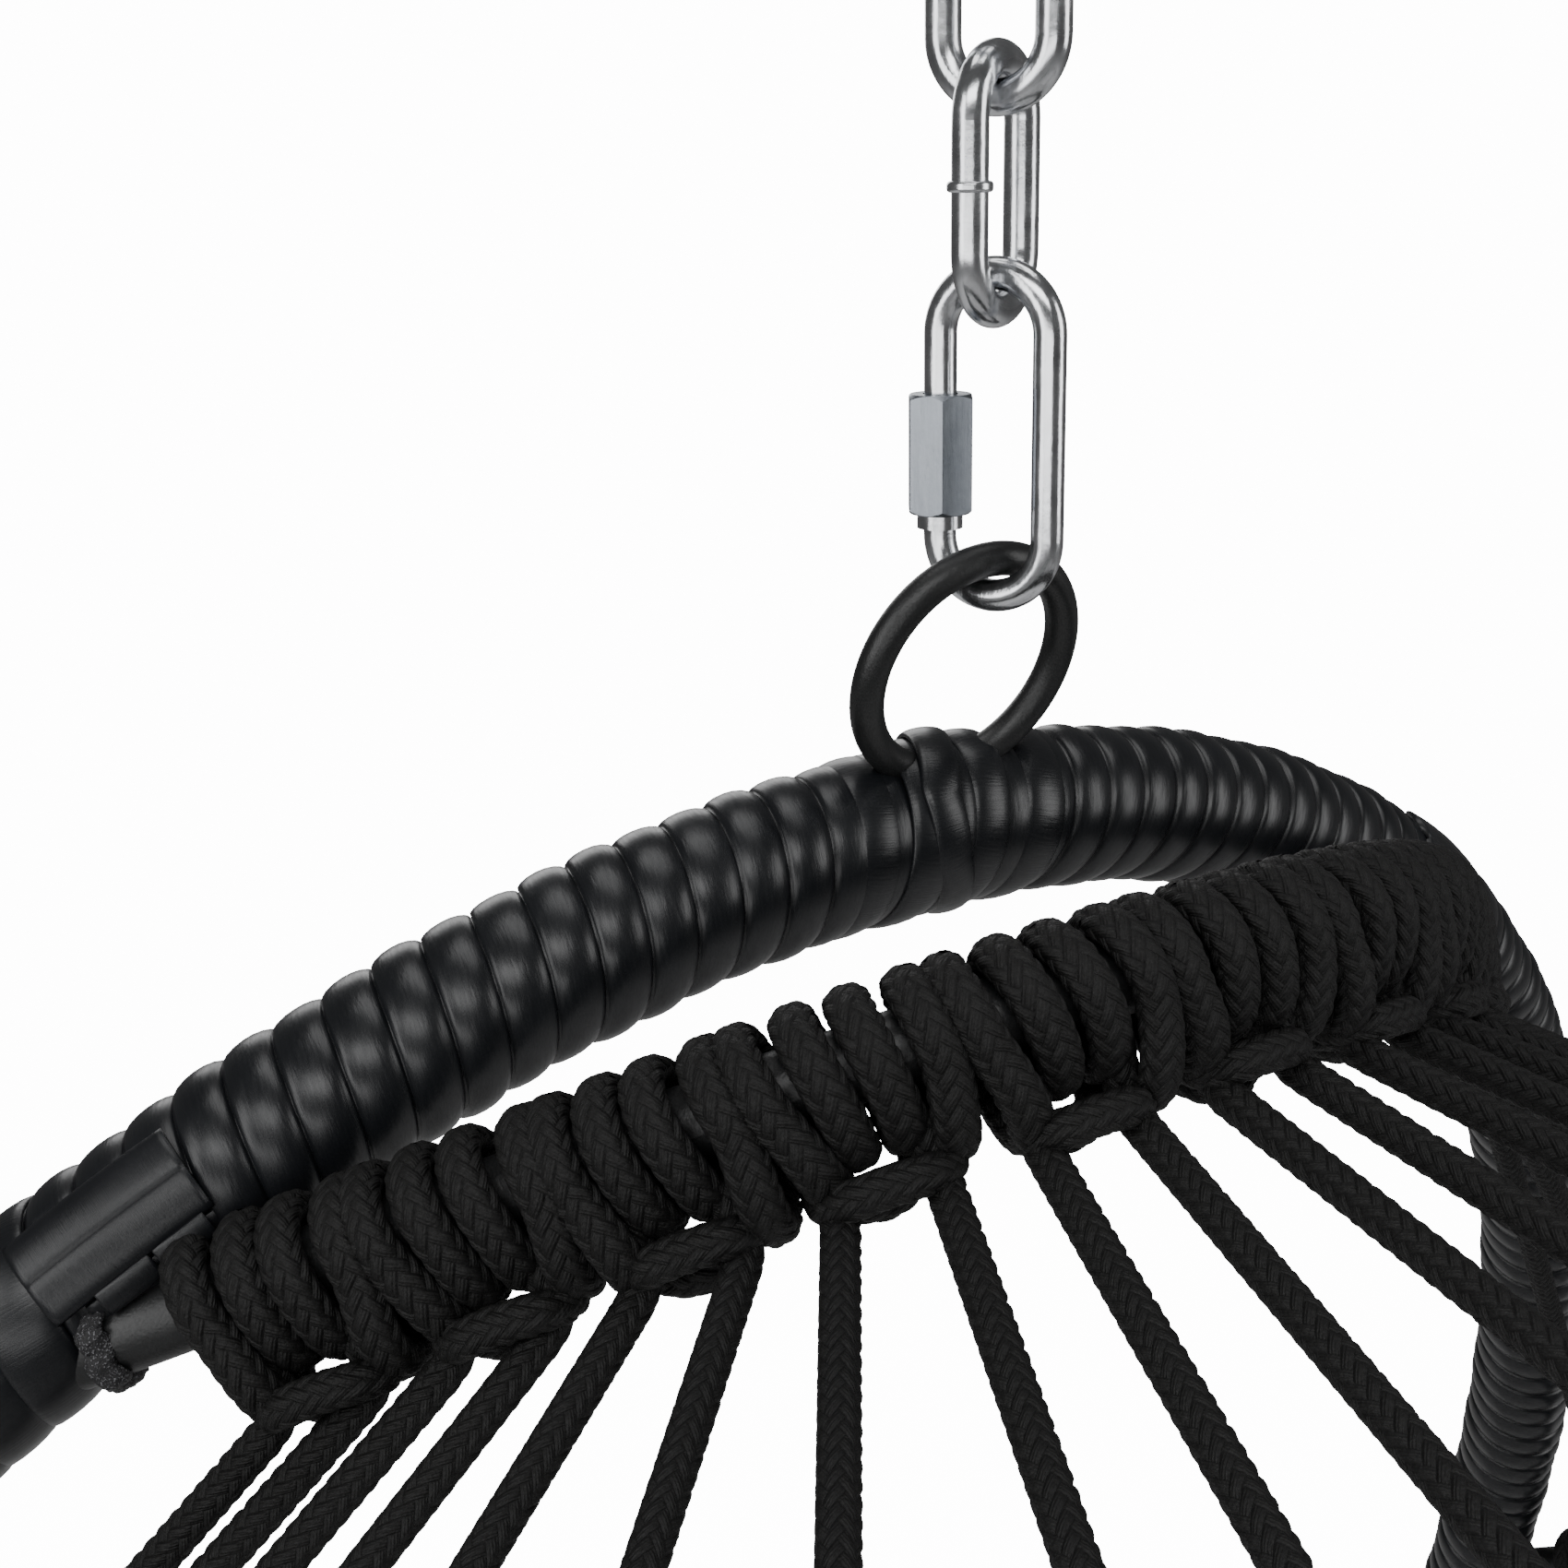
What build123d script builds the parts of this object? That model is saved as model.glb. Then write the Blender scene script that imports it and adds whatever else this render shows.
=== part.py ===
"""Hanging cocoon chair: chain, quick link, ring, reclined egg hoop, bent bars and a net of cord.

Units are millimetres. The origin is the hanging point, where a hook bears inside the top
chain link. +Z is up, +Y is the chair's back and -Y is the side that a person gets in by.
"""
import os
from math import acos, asin, atan2, cos, hypot, pi, radians, sin, sqrt

from build123d import *

os.makedirs("parts", exist_ok=True)

# ---------------------------------------------------------------- chain and quick link
chain_links = 5
chain_wire = 8.0
chain_link_length = 61.0
chain_link_width = 34.0
chain_weld_height = 1.0
chain_weld_width = 2.4
chain_weld_round = 0.8
quick_link_bearing = 115.0  # degrees, the way the quick link's width points from +X
hanging_gap = 0.3  # left between links that hang in each other
ring_gap = 0.6  # the ring crosses the quick link's bow at a slant, so it needs more

quick_wire = 7.4
quick_length = 79.0
quick_width = 34.0
nut_across_flats = 14.0
nut_length = 27.0
nut_bottom_height = 21.6  # above the quick link's lowest point
nut_bore_clearance = 0.3
nut_face_rim = 0.2  # the end faces stop this far inside the flats
nut_corner_slope = 1.1  # height of the bevel on the corners
collar_diameter = 10.4
collar_length = 3.0
mouth_height = 10.0  # the gap in the leg that the nut closes

# ---------------------------------------------------------------- ring, hoop and wrap
ring_wire = 8.0
ring_mean_radius = 28.0
ring_centre_height = 44.5  # above the hoop's centre line, in the hoop's plane
ring_weld_radius = 2.6
ring_weld_length = 26.0

recline = radians(19.16)
hoop_half_width = 478.6
hoop_crown_height = 727.4  # from the widest point up to the crown
hoop_bowl_height = 370.0  # from the widest point down to the foot
hoop_tube = 32.0
hoop_wall = 1.2
wrap_outside = 38.6
wrap_clearance = 0.15
crown_arc_angle = 0.18  # radians that each arc of the tall half ellipse takes
crown_arcs = 8
bowl_arc_angle = 0.22
bowl_arcs = 6
drain_hole = 6.0
binding_thickness = 1.3
binding_width = 13.0
binding_from_middle = 40.0
joint_strip_length = 74.0
joint_strip_shift = 26.0  # further down the hoop than the bar's own middle

# ---------------------------------------------------------------- bars and rails
bar_tube = 16.0
bar_wall = 2.5
top_bar_back = 97.8  # behind the hoop's crown
top_bar_drop = 3.5  # below the hoop's crown
top_bar_end_x = 237.0
top_bar_radius = 160.0

upper_rail_back = 430.0
upper_rail_drop = 115.0
upper_rail_inset = 20.6  # from the hoop's widest half width
lower_rail_back = 560.0
lower_rail_drop = 600.0
lower_rail_inset = 4.6  # from the hoop's widest half width
seat_rail_back = 450.0
seat_rail_drop = 935.0
seat_rail_radius = 311.0
seat_bar_below_rail = 18.0  # measured down the hoop's plane

# ---------------------------------------------------------------- cord
cord = 8.0
cord_gap = 0.3
knot_places = (0, 43, 86, 127, 167, 207)  # along the top bar from its middle, both ways
knot_turn_places = (-15.4, -4.6, 4.6, 15.4)
knot_bight_length = 30.0
tail_half_spacing = 9.6
tail_lean = radians(20.4)  # back from straight down
bight_dip = radians(21)  # down from level
bight_gap = 0.6
crossing_gap = 1.2
upper_places = (28, 105, 160, 212, 300, 400, 525, 645, 745, 835, 895)
upper_end_gap = 72.3  # from the last cord to the rail's end
rail_turn_half_spacing = 4.2
seat_cord_spacing = 38.0
seat_cord_front_margin = 42.0
seat_cord_rear_margin = 60.0

UP = Vector(0, 0, 1)
ACROSS = Vector(1, 0, 0)


# ---------------------------------------------------------------- places
def width_way(bearing):
    """Horizontal unit vector at a bearing in degrees from +X."""
    return Vector(cos(radians(bearing)), sin(radians(bearing)), 0)


def upright_plane(centre_height, bearing):
    """Vertical plane through the chain's axis: local x is the link's width, local y is up."""
    way = width_way(bearing)
    return Plane(origin=(0, 0, centre_height), x_dir=way, z_dir=way.cross(UP))


link_inner_length = chain_link_length - 2 * chain_wire
link_pitch = link_inner_length - hanging_gap
first_link_height = chain_wire - chain_link_length / 2
last_link_height = first_link_height - (chain_links - 1) * link_pitch
last_link_inner_bottom = last_link_height - chain_link_length / 2 + chain_wire
quick_top = last_link_inner_bottom + hanging_gap + quick_wire
quick_height = quick_top - quick_length / 2
quick_bottom = quick_top - quick_length
ring_top_centre = quick_bottom + quick_wire + ring_gap + ring_wire / 2
ring_reach = ring_centre_height + ring_mean_radius
crown = Vector(0, -ring_reach * sin(recline), ring_top_centre - ring_reach * cos(recline))
hoop_up = Vector(0, sin(recline), cos(recline))
hoop_front = Vector(0, -cos(recline), sin(recline))
hoop_plane = Plane(origin=crown, x_dir=ACROSS, z_dir=hoop_front)


def link_bearing(number):
    """Links turn a quarter each time, and the last one stands square to the quick link."""
    return quick_link_bearing - 90 * ((chain_links - number + 1) % 2)


def ellipse_point(half_width, height, centre_v, angle):
    return (half_width * sin(angle), centre_v + height * cos(angle))


def hoop_outline():
    """Points down the right half of the hoop: a tall half ellipse on a short one."""
    crown_angles = [crown_arc_angle * n for n in range(crown_arcs)]
    bowl_angles = [pi / 2 + bowl_arc_angle * n for n in range(bowl_arcs)]
    crown_part = [ellipse_point(hoop_half_width, hoop_crown_height, -hoop_crown_height, a)
                  for a in crown_angles]
    bowl_part = [ellipse_point(hoop_half_width, hoop_bowl_height, -hoop_crown_height, a)
                 for a in bowl_angles]
    return crown_part + bowl_part


def tangent_arcs(points, heading):
    """Circular arcs through the points, each leaving the way the last one arrived."""
    arcs = []
    for start, end in zip(points, points[1:]):
        chord = atan2(end[1] - start[1], end[0] - start[0])
        half_turn = chord - heading
        length = hypot(end[0] - start[0], end[1] - start[1])
        rise = -length / 2 * (1 - cos(half_turn)) / sin(half_turn)
        middle = ((start[0] + end[0]) / 2 - rise * sin(chord),
                  (start[1] + end[1]) / 2 + rise * cos(chord))
        arcs.append((start, middle, end))
        heading = chord + half_turn
    return arcs, heading


def hoop_arcs():
    """Arcs of the whole closed hoop, from its foot up one side and down the other."""
    side, heading = tangent_arcs(hoop_outline(), 0.0)
    end = side[-1][2]
    radius = end[0] / sin(heading + pi)
    sweep_angle = heading + pi
    centre_v = end[1] + radius * cos(sweep_angle)
    foot = (0.0, centre_v - radius)
    half_way = (radius * sin(sweep_angle / 2), centre_v - radius * cos(sweep_angle / 2))
    down = side + [(end, half_way, foot)]
    up = [(c, b, a) for a, b, c in reversed(down)]
    left = [tuple((-x, y) for x, y in arc) for arc in down]
    return up + left


def hoop_half_width_at(drop):
    """Half width of the hoop's centre line at a drop down its plane."""
    if drop <= hoop_crown_height:
        return hoop_half_width * sqrt(1 - (1 - drop / hoop_crown_height) ** 2)
    return hoop_half_width * sqrt(1 - ((drop - hoop_crown_height) / hoop_bowl_height) ** 2)


def crown_drop_at(half_width):
    """Drop down the upper part of the hoop at which it is this wide."""
    return hoop_crown_height * (1 - sqrt(1 - (half_width / hoop_half_width) ** 2))


def bowl_drop_at(half_width):
    """Drop down the lower part of the hoop at which it is this wide."""
    return hoop_crown_height + hoop_bowl_height * sqrt(1 - (half_width / hoop_half_width) ** 2)


def on_hoop(u, drop, out=0.0):
    """A place by distance across, down the hoop's plane and out of its front."""
    return crown + ACROSS * u - hoop_up * drop + hoop_front * out


class Arch:
    """A bar bent round one radius, the same each side, with straight legs to the hoop."""

    def __init__(self, back, drop, radius, hoop_drop, leg_end_x):
        self.middle = crown + Vector(0, back, -drop)
        hoop_middle = on_hoop(0, hoop_drop)
        run = self.middle - hoop_middle
        self.depth = run.length
        self.rearward = run.normalized()
        self.radius = radius
        self.bend = self.solve_bend(leg_end_x)
        self.leg = (self.depth - radius * (1 - cos(self.bend))) / sin(self.bend)
        self.arc = radius * self.bend
        self.plane = Plane(origin=self.middle, x_dir=ACROSS, z_dir=ACROSS.cross(self.rearward))

    def solve_bend(self, leg_end_x):
        """Bend angle that brings the straight leg to its place on the hoop."""
        if leg_end_x is None:
            return pi / 2
        across, down = leg_end_x, self.depth - self.radius
        reach = hypot(across, down)
        return atan2(across, -down) - acos(self.radius / reach) if reach > self.radius else pi / 2

    def flat_place(self, along):
        """Local x, y and heading at a distance along the bar from its middle."""
        side = 1 if along >= 0 else -1
        far = abs(along)
        angle = min(far, self.arc) / self.radius
        extra = max(far - self.arc, 0.0)
        x = self.radius * sin(angle) + extra * cos(angle)
        y = self.radius * (cos(angle) - 1) - extra * sin(angle)
        return side * x, y, side * angle

    def centre(self, along):
        x, y, _ = self.flat_place(along)
        return self.middle + ACROSS * x + self.rearward * y

    def tangent(self, along):
        _, _, angle = self.flat_place(along)
        return ACROSS * cos(angle) - self.rearward * sin(angle)

    def outward(self, along):
        _, _, angle = self.flat_place(along)
        return ACROSS * sin(angle) + self.rearward * cos(angle)

    def half_length(self):
        return self.arc + self.leg

    def draw(self):
        """Legs and bend, drawn in the active line builder."""
        inner = self.flat_place(self.arc)[:2]
        tip = self.flat_place(self.arc + self.leg)[:2]
        Line((-tip[0], tip[1]), (-inner[0], inner[1]))
        ThreePointArc((-inner[0], inner[1]), (0, 0), inner)
        Line(inner, tip)


upper_rail_radius = hoop_half_width - upper_rail_inset
lower_rail_radius = hoop_half_width - lower_rail_inset
seat_rail_joint = bowl_drop_at(seat_rail_radius)
seat_bar_joint = seat_rail_joint + seat_bar_below_rail
top_arch = Arch(top_bar_back, top_bar_drop, top_bar_radius,
                crown_drop_at(top_bar_end_x), top_bar_end_x)
upper_arch = Arch(upper_rail_back, upper_rail_drop, upper_rail_radius,
                  crown_drop_at(upper_rail_radius), None)
lower_arch = Arch(lower_rail_back, lower_rail_drop, lower_rail_radius, hoop_crown_height, None)
seat_arch = Arch(seat_rail_back, seat_rail_drop, seat_rail_radius, seat_rail_joint, None)


def even_places(arch):
    """Where the cords cross a rail: the same step between each pair."""
    step = arch.half_length() / (len(upper_places) + 0.5)
    return [step * (n + 0.5) for n in range(len(upper_places))]


def spread_places(arch, places, end_gap):
    """Chosen places, spread so that the last one keeps its gap from the rail's end."""
    spread = (arch.half_length() - end_gap) / places[-1]
    return [place * spread for place in places]


rail_places = spread_places(upper_arch, upper_places, upper_end_gap)
lower_places = even_places(lower_arch)
seat_places = even_places(seat_arch)


def square_to_bar(along):
    """Level and downward directions square to the top bar."""
    along_bar = top_arch.tangent(along)
    level = UP.cross(along_bar).normalized()
    down = level.cross(along_bar).normalized()
    return level, down if down.Z < 0 else down * -1


def knot_down(along):
    """The way a knot's tails leave the bar: square to it, down and a little back."""
    level, down = square_to_bar(along)
    return level * sin(tail_lean) + down * cos(tail_lean)


def tail_start(knot, side):
    """Start of one tail, clear below the knot's turns."""
    centre = top_arch.centre(knot + side * tail_half_spacing)
    return centre + knot_down(knot) * (bar_tube / 2 + cord * 1.5 + cord_gap)


def rail_crossing(arch, along, before, after):
    """Where a taut cord bends over its own turns on a rail, on the outside of the bend."""
    centre = arch.centre(along)
    arriving = (centre - before).normalized()
    leaving = (after - centre).normalized() if after else arriving
    outside = arriving - leaving if after else arch.outward(along)
    if not after:
        outside = outside - arriving * outside.dot(arriving)
    along_rail = arch.tangent(along)
    outside = (outside - along_rail * outside.dot(along_rail)).normalized()
    clear = bar_tube / 2 + cord * 1.5 + crossing_gap
    reach = clear
    for way in (arriving, leaving):
        across_rail = way - along_rail * way.dot(along_rail)
        sideways = across_rail - outside * across_rail.dot(outside)
        reach = max(reach, clear * across_rail.length / sideways.length)
    return centre + outside * reach


# ---------------------------------------------------------------- building helpers
def write(part, name):
    """Label one sub-part and write its STEP file."""
    part.label = name
    export_step(part, f"parts/{name}.step")


def hoop_sweep(radius, bore):
    """The whole hoop as a round section, hollow when it has a bore."""
    with BuildPart() as piece:
        with BuildLine(hoop_plane) as path:
            for start, middle, end in hoop_arcs():
                ThreePointArc(start, middle, end)
        with BuildSketch(Plane(origin=path.line @ 0, z_dir=ACROSS)):
            Circle(radius)
            if bore:
                Circle(bore, mode=Mode.SUBTRACT)
        sweep(path=path.line)
    return piece.part


def arch_tube(arch, diameter, wall, cutter):
    """A bent tube, coped to the hoop at both ends."""
    with BuildPart() as piece:
        with BuildLine(arch.plane) as path:
            arch.draw()
        with BuildSketch(Plane(origin=path.line @ 0, z_dir=path.line % 0)):
            Circle(diameter / 2)
            Circle(diameter / 2 - wall, mode=Mode.SUBTRACT)
        sweep(path=path.line)
        add(cutter, mode=Mode.SUBTRACT)
    largest = max(piece.part.solids(), key=lambda solid: solid.volume)
    return Part(largest.wrapped)


def cord_run(start, end, start_gap=0.0, end_gap=0.0):
    """One straight, taut stretch of cord."""
    way = (end - start).normalized()
    first = start + way * start_gap
    length = (end - start).length - start_gap - end_gap
    with BuildPart() as piece:
        with BuildSketch(Plane(origin=first, z_dir=way)):
            Circle(cord / 2)
        extrude(amount=length)
    return piece.part


def cord_turn(centre, along):
    """One turn of cord round a bar."""
    with BuildPart(Plane(origin=centre, z_dir=along)) as piece:
        Torus(bar_tube / 2 + cord_gap + cord / 2, cord / 2)
    return piece.part


def gather(pieces):
    """Separate solids kept together as one node."""
    with BuildPart() as group:
        for piece in pieces:
            add(piece)
    return group.part


# ---------------------------------------------------------------- chain
def draw_stadium(length, width, wire):
    """Centre line of a link, upright in its own plane."""
    radius = (width - wire) / 2
    half_leg = (length - width) / 2
    Line((radius, -half_leg), (radius, half_leg))
    ThreePointArc((radius, half_leg), (0, half_leg + radius), (-radius, half_leg))
    Line((-radius, half_leg), (-radius, -half_leg))
    ThreePointArc((-radius, -half_leg), (0, -half_leg - radius), (radius, -half_leg))


for number in range(1, chain_links + 1):
    height = first_link_height - (number - 1) * link_pitch
    link_plane = upright_plane(height, link_bearing(number))
    leg_x = (chain_link_width - chain_wire) / 2
    leg_plane = Plane(origin=link_plane.from_local_coords((leg_x, 0, 0)), z_dir=UP)
    with BuildPart() as chain_link:
        with BuildLine(link_plane) as link_path:
            draw_stadium(chain_link_length, chain_link_width, chain_wire)
        with BuildSketch(Plane(origin=link_path.line @ 0, z_dir=UP)):
            Circle(chain_wire / 2)
        sweep(path=link_path.line)
        with BuildSketch(leg_plane.offset(-chain_weld_width / 2)):
            Circle(chain_wire / 2 + chain_weld_height)
        extrude(amount=chain_weld_width)
        weld_edges = chain_link.edges().filter_by(GeomType.CIRCLE)
        weld_edges = [e for e in weld_edges
                      if abs(e.radius - chain_wire / 2 - chain_weld_height) < 0.01]
        fillet(weld_edges, chain_weld_round)
    write(chain_link.part, f"chain_link_{number}")

# ---------------------------------------------------------------- quick link
quick_plane = upright_plane(quick_height, quick_link_bearing)
quick_leg_x = (quick_width - quick_wire) / 2
nut_low = quick_bottom + nut_bottom_height
nut_face_radius = nut_across_flats / 2 - nut_face_rim
nut_corner_radius = nut_across_flats / sqrt(3)
nut_leg = quick_plane.from_local_coords((-quick_leg_x, 0, 0))
nut_plane = Plane(origin=(nut_leg.X, nut_leg.Y, nut_low),
                  x_dir=width_way(quick_link_bearing), z_dir=UP)
with BuildPart() as quick_link_body:
    with BuildLine(quick_plane) as quick_path:
        draw_stadium(quick_length, quick_width, quick_wire)
    with BuildSketch(Plane(origin=quick_path.line @ 0, z_dir=UP)):
        Circle(quick_wire / 2)
    sweep(path=quick_path.line)
    with BuildSketch(nut_plane.offset(nut_length / 2 - mouth_height / 2)):
        Circle(quick_wire)
    extrude(amount=mouth_height, mode=Mode.SUBTRACT)
    with BuildSketch(nut_plane.offset(-collar_length - hanging_gap)):
        Circle(collar_diameter / 2)
    extrude(amount=collar_length)
write(quick_link_body.part, "quick_link_body")

with BuildPart() as quick_link_nut:
    with BuildSketch(nut_plane):
        RegularPolygon(nut_across_flats / 2, 6, major_radius=False)
    extrude(amount=nut_length)
    with BuildSketch(nut_plane):
        Circle(nut_corner_radius)
    extrude(amount=nut_length, mode=Mode.INTERSECT)
    corner_slope = Plane(origin=nut_plane.origin, x_dir=nut_plane.x_dir,
                         z_dir=nut_plane.x_dir.cross(UP))
    with BuildSketch(corner_slope) as nut_profile:
        with BuildLine():
            Polyline((0, 0), (nut_face_radius, 0), (nut_corner_radius, nut_corner_slope),
                     (nut_corner_radius, nut_length - nut_corner_slope),
                     (nut_face_radius, nut_length), (0, nut_length), close=True)
        make_face()
    revolve(axis=Axis(nut_plane.origin, UP), mode=Mode.INTERSECT)
    with BuildSketch(nut_plane):
        Circle(quick_wire / 2 + nut_bore_clearance)
    extrude(amount=nut_length, mode=Mode.SUBTRACT)
write(quick_link_nut.part, "quick_link_nut")

# ---------------------------------------------------------------- hoop, ring and wrap
hoop_core = hoop_sweep(hoop_tube / 2, 0)
foot_drop = hoop_crown_height + hoop_bowl_height
with BuildPart() as hoop:
    add(hoop_sweep(hoop_tube / 2, hoop_tube / 2 - hoop_wall))
    with BuildSketch(Plane(origin=on_hoop(0, foot_drop), z_dir=hoop_up * -1)):
        Circle(drain_hole / 2)
    extrude(amount=hoop_tube, mode=Mode.SUBTRACT)
write(hoop.part, "hoop_tube")

ring_plane = Plane(origin=on_hoop(0, -ring_centre_height), x_dir=ACROSS, z_dir=hoop_front)
with BuildPart() as hanging_ring:
    with Locations(ring_plane):
        Torus(ring_mean_radius, ring_wire / 2)
    add(hoop_core, mode=Mode.SUBTRACT)
write(hanging_ring.part, "hanging_ring")

with BuildPart() as ring_weld:
    for face_side in (-1, 1):
        bead_middle = on_hoop(0, -hoop_tube / 2, face_side * ring_wire / 2)
        bead_start = bead_middle - ACROSS * (ring_weld_length / 2)
        with BuildSketch(Plane(origin=bead_start, x_dir=UP, z_dir=ACROSS)):
            Circle(ring_weld_radius)
        extrude(amount=ring_weld_length)
    add(hoop_core, mode=Mode.SUBTRACT)
    add(hanging_ring.part, mode=Mode.SUBTRACT)
write(ring_weld.part, "ring_weld")

arches = {"top_bar": top_arch, "upper_rail": upper_arch, "lower_rail": lower_arch,
          "seat_rail": seat_arch}
arch_cores = []
for arch_name, arch in arches.items():
    with BuildPart() as arch_core:
        with BuildLine(arch.plane) as core_path:
            arch.draw()
        with BuildSketch(Plane(origin=core_path.line @ 0, z_dir=core_path.line % 0)):
            Circle(bar_tube / 2 + wrap_clearance)
        sweep(path=core_path.line)
    arch_cores.append(arch_core.part)
    write(arch_tube(arch, bar_tube, bar_wall, hoop_core), arch_name)

seat_bar_x = hoop_half_width_at(seat_bar_joint)
seat_bar_start = on_hoop(-seat_bar_x, seat_bar_joint)
with BuildPart() as seat_front_bar:
    with BuildSketch(Plane(origin=seat_bar_start, z_dir=ACROSS)):
        Circle(bar_tube / 2)
        Circle(bar_tube / 2 - bar_wall, mode=Mode.SUBTRACT)
    extrude(amount=2 * seat_bar_x)
    add(hoop_core, mode=Mode.SUBTRACT)
seat_bar_solid = max(seat_front_bar.part.solids(), key=lambda solid: solid.volume)
write(Part(seat_bar_solid.wrapped), "seat_front_bar")
with BuildPart() as seat_bar_core:
    with BuildSketch(Plane(origin=seat_bar_start, z_dir=ACROSS)):
        Circle(bar_tube / 2 + wrap_clearance)
    extrude(amount=2 * seat_bar_x)

with BuildPart() as hoop_wrap:
    add(hoop_sweep(wrap_outside / 2, hoop_tube / 2 + wrap_clearance))
    add(hanging_ring.part, mode=Mode.SUBTRACT)
    add(ring_weld.part, mode=Mode.SUBTRACT)
    for core in arch_cores:
        add(core, mode=Mode.SUBTRACT)
    add(seat_bar_core.part, mode=Mode.SUBTRACT)
wrap_solid = max(hoop_wrap.part.solids(), key=lambda solid: solid.volume)
write(Part(wrap_solid.wrapped), "hoop_wrap")


def hoop_sleeve(first_angle, last_angle, inside, outside):
    """A short sleeve over the wrap, between two angles on the crown's ellipse."""
    steps = [first_angle + (last_angle - first_angle) * n / 2 for n in range(3)]
    points = [ellipse_point(hoop_half_width, hoop_crown_height, -hoop_crown_height, a)
              for a in steps]
    with BuildPart() as sleeve:
        with BuildLine(hoop_plane) as path:
            ThreePointArc(*points)
        with BuildSketch(Plane(origin=path.line @ 0, z_dir=path.line % 0)):
            Circle(outside)
            Circle(inside, mode=Mode.SUBTRACT)
        sweep(path=path.line)
    return sleeve.part


binding_inside = wrap_outside / 2 + cord_gap
for side_name, side in (("left", -1), ("right", 1)):
    near = asin(binding_from_middle / hoop_half_width)
    far = asin((binding_from_middle + binding_width) / hoop_half_width)
    write(hoop_sleeve(side * near, side * far, binding_inside, binding_inside + binding_thickness),
          f"ring_binding_{side_name}")
    strip_middle = top_bar_end_x + joint_strip_shift
    low = asin((strip_middle - joint_strip_length / 2) / hoop_half_width)
    high = asin((strip_middle + joint_strip_length / 2) / hoop_half_width)
    strip = hoop_sleeve(side * low, side * high, binding_inside,
                        binding_inside + binding_thickness)
    with BuildPart() as joint_strip:
        add(strip)
        add(arch_cores[0], mode=Mode.SUBTRACT)
    strip_solid = max(joint_strip.part.solids(), key=lambda solid: solid.volume)
    write(Part(strip_solid.wrapped), f"joint_strip_{side_name}")

# ---------------------------------------------------------------- knots and back cords
squeeze = hoop_sweep(wrap_outside / 2 + binding_thickness + 2 * cord_gap, 0)
knot_line = [-place for place in reversed(knot_places[1:])] + list(knot_places)
for number, place in enumerate(knot_line, start=1):
    turns = []
    for shift in knot_turn_places:
        turns.append(cord_turn(top_arch.centre(place + shift), top_arch.tangent(place + shift)))
    level, down = square_to_bar(place)
    bight_way = level * cos(bight_dip) + down * sin(bight_dip)
    bight_out = bar_tube / 2 + cord * 1.5 + bight_gap
    bight_middle = top_arch.centre(place) + bight_way * bight_out
    half_bight = top_arch.tangent(place) * (knot_bight_length / 2)
    turns.append(cord_run(bight_middle - half_bight, bight_middle + half_bight))
    with BuildPart() as knot:
        for turn in turns:
            add(turn)
        if number in (1, len(knot_line)):
            add(squeeze, mode=Mode.SUBTRACT)
    write(knot.part, f"top_knot_{number:02d}")

upper_runs, middle_runs, lower_runs = [], [], []
upper_turns, lower_turns, seat_turns = [], [], []
tails = [(knot_places[(order + 1) // 2], 1 if order % 2 == 0 else -1)
         for order in range(len(upper_places))]
for side in (-1, 1):
    for order, (knot, tail_side) in enumerate(tails):
        start = tail_start(side * knot, side * tail_side)
        upper_place = side * rail_places[order]
        lower_place = side * lower_places[order]
        seat_place = side * seat_places[order]
        upper = rail_crossing(upper_arch, upper_place, start, lower_arch.centre(lower_place))
        lower = rail_crossing(lower_arch, lower_place, upper, seat_arch.centre(seat_place))
        seat = rail_crossing(seat_arch, seat_place, lower, None)
        upper_runs.append(cord_run(start, upper, 0.0, cord))
        middle_runs.append(cord_run(upper, lower, cord, cord))
        lower_runs.append(cord_run(lower, seat, cord, cord))
        for turns, arch, place in ((upper_turns, upper_arch, upper_place),
                                   (lower_turns, lower_arch, lower_place),
                                   (seat_turns, seat_arch, seat_place)):
            for shift in (-rail_turn_half_spacing, rail_turn_half_spacing):
                along = place + shift
                turns.append(cord_turn(arch.centre(along), arch.tangent(along)))
write(gather(upper_runs), "upper_back_cords")
write(gather(middle_runs), "middle_back_cords")
write(gather(lower_runs), "lower_back_cords")
write(gather(upper_turns), "upper_rail_turns")
write(gather(lower_turns), "lower_rail_turns")
write(gather(seat_turns), "seat_rail_turns")

# ---------------------------------------------------------------- seat
seat_depth = seat_arch.depth - seat_cord_front_margin - seat_cord_rear_margin
seat_count = int(seat_depth // seat_cord_spacing) + 1
seat_lift = seat_arch.plane.z_dir * (bar_tube / 2 + cord * 1.5 + bight_gap)
seat_lift = seat_lift if seat_lift.Z > 0 else seat_lift * -1
seat_runs = []
for row in range(seat_count):
    back = seat_cord_rear_margin + row * seat_cord_spacing
    half = seat_rail_radius
    if back < seat_rail_radius:
        half = sqrt(seat_rail_radius ** 2 - (seat_rail_radius - back) ** 2)
    middle = seat_arch.middle - seat_arch.rearward * back + seat_lift
    seat_runs.append(cord_run(middle - ACROSS * half, middle + ACROSS * half))
write(gather(seat_runs), "seat_cords")
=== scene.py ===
"""Hanging egg chair: wrapped hoop, ring, quick link, chain and knotted braided cord."""
from math import acos, asin, atan2, cos, hypot, pi, radians, sin, sqrt

import bmesh
import bpy
import numpy as np
from mathutils import Matrix, Vector


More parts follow.
